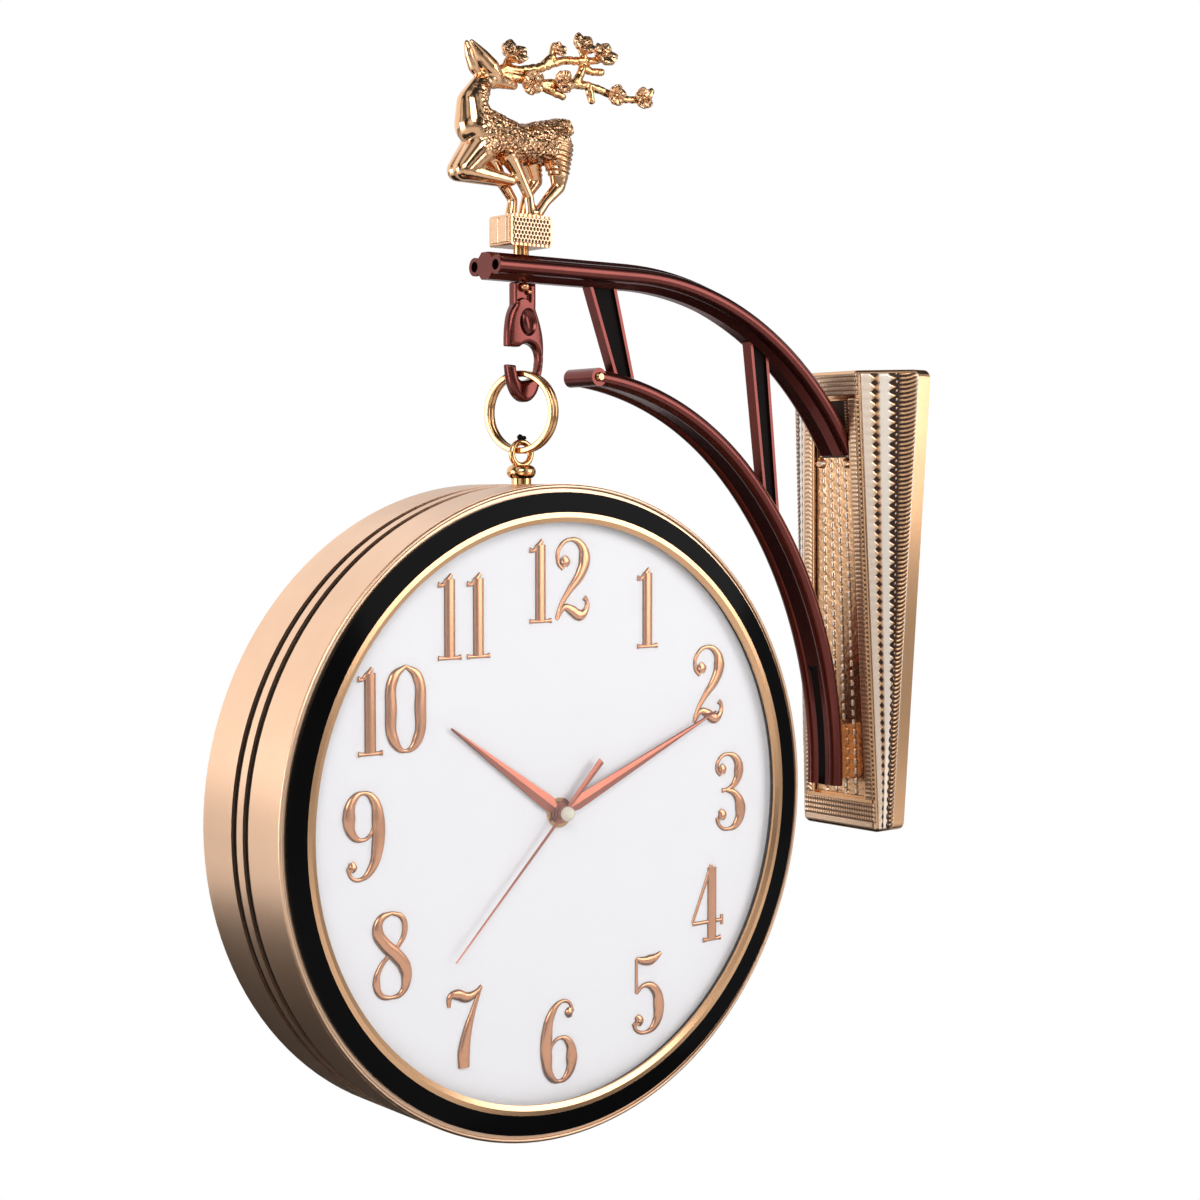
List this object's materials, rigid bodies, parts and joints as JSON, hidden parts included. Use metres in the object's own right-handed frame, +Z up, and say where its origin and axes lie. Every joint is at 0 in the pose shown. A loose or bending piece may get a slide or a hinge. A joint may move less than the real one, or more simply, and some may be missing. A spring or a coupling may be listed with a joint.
{
  "type": "double-sided wall clock",
  "caption": "Round two-dial clock case hanging by a ring from an arched wall bracket with a tapered wall plate and a deer ornament.",
  "frame": {"origin": "middle of the wall plate's back face, on the wall", "axes": "+Z up, +X into the wall, so the bracket reaches out along -X; the first dial faces -Y and the second faces +Y"},
  "size_m": [0.388, 0.0908, 0.5223],
  "materials": {
    "pale_gold": "polished pale gold plating",
    "rose_gold": "satin rose gold plating",
    "bright_gold": "bright gold plating",
    "mahogany_metal": "glossy red-brown metallic enamel over a casting",
    "jet_gloss": "gloss black enamel",
    "seal_black": "matt black",
    "dial_white": "matt white enamel on sheet",
    "rose_copper": "polished rose copper plating",
    "steel": "zinc-plated",
    "lens_glass": "clear polished",
    "movement_plastic": "moulded",
    "cell_skin": "printed sleeve without words"
  },
  "bodies": {
    "bracket": {"wall_plate": "pale_gold", "foot_boss": "pale_gold", "arm_screws": "steel", "upper_arm": "mahogany_metal", "lower_arm": "mahogany_metal", "inner_strut": "mahogany_metal", "outer_strut": "mahogany_metal", "tip_rivets": "bright_gold", "hook": "mahogany_metal", "hook_balls": "rose_copper", "ornament_post": "bright_gold", "ornament_base": "pale_gold", "deer": "pale_gold", "antler_branch": "bright_gold", "blossoms": "bright_gold"},
    "ring": {"hanging_ring": "bright_gold"},
    "clock": {"hanger_stud": "bright_gold", "hanger_nut": "steel", "centre_band": "rose_gold", "front_shell": "rose_gold", "front_seal": "seal_black", "front_rim_bead": "rose_gold", "front_bezel": "jet_gloss", "front_lip": "pale_gold", "front_dial_frame": "seal_black", "front_spacer": "seal_black", "front_lens": "lens_glass", "front_dial": "dial_white", "front_case_screws": "rose_gold", "front_movement": "movement_plastic", "front_cell": "cell_skin", "front_dial_nut": "bright_gold", "rear_shell": "rose_gold", "rear_seal": "seal_black", "rear_rim_bead": "rose_gold", "rear_bezel": "jet_gloss", "rear_lip": "pale_gold", "rear_dial_frame": "seal_black", "rear_spacer": "seal_black", "rear_lens": "lens_glass", "rear_dial": "dial_white", "rear_case_screws": "rose_gold", "rear_movement": "movement_plastic", "rear_cell": "cell_skin", "rear_dial_nut": "bright_gold"},
    "front_set_knob": {"front_set_knob": "movement_plastic"},
    "front_hour_hand": {"front_hour_hand": "rose_copper"},
    "front_minute_hand": {"front_minute_hand": "rose_copper"},
    "front_second_hand": {"front_second_hand": "rose_copper"},
    "rear_set_knob": {"rear_set_knob": "movement_plastic"},
    "rear_hour_hand": {"rear_hour_hand": "rose_copper"},
    "rear_minute_hand": {"rear_minute_hand": "rose_copper"},
    "rear_second_hand": {"rear_second_hand": "rose_copper"}
  },
  "joints": [
    {"name": "ring_swing", "type": "hinge", "parent": "bracket", "child": "ring", "pos_m": [-0.2355, 0, 0.09601], "axis": [0.9455, 0.3256, 0], "range_deg": [-15, 15]},
    {"name": "clock_swing", "type": "hinge", "parent": "ring", "child": "clock", "pos_m": [-0.2355, 0, 0.07646], "axis": [0, 1, 0], "range_deg": [-8, 25]},
    {"name": "front_minute", "type": "hinge", "parent": "clock", "child": "front_minute_hand", "pos_m": [-0.2355, 0, -0.09034], "axis": [0, 1, 0], "continuous": true},
    {"name": "front_hour", "type": "hinge", "parent": "clock", "child": "front_hour_hand", "pos_m": [-0.2355, 0, -0.09034], "axis": [0, 1, 0], "continuous": true},
    {"name": "front_second", "type": "hinge", "parent": "clock", "child": "front_second_hand", "pos_m": [-0.2355, 0, -0.09034], "axis": [0, 1, 0], "continuous": true},
    {"name": "front_set", "type": "hinge", "parent": "clock", "child": "front_set_knob", "pos_m": [-0.2355, 0, -0.09034], "axis": [0, 1, 0], "continuous": true},
    {"name": "rear_minute", "type": "hinge", "parent": "clock", "child": "rear_minute_hand", "pos_m": [-0.2355, 0, -0.09034], "axis": [0, -1, 0], "continuous": true},
    {"name": "rear_hour", "type": "hinge", "parent": "clock", "child": "rear_hour_hand", "pos_m": [-0.2355, 0, -0.09034], "axis": [0, -1, 0], "continuous": true},
    {"name": "rear_second", "type": "hinge", "parent": "clock", "child": "rear_second_hand", "pos_m": [-0.2355, 0, -0.09034], "axis": [0, -1, 0], "continuous": true},
    {"name": "rear_set", "type": "hinge", "parent": "clock", "child": "rear_set_knob", "pos_m": [-0.2355, 0, -0.09034], "axis": [0, -1, 0], "continuous": true}
  ],
  "couplings": [
    {"joint": "front_hour", "follows": "front_minute", "ratio": 0.083333},
    {"joint": "front_set", "follows": "front_minute", "ratio": 1},
    {"joint": "rear_hour", "follows": "rear_minute", "ratio": 0.083333},
    {"joint": "rear_set", "follows": "rear_minute", "ratio": 1}
  ]
}
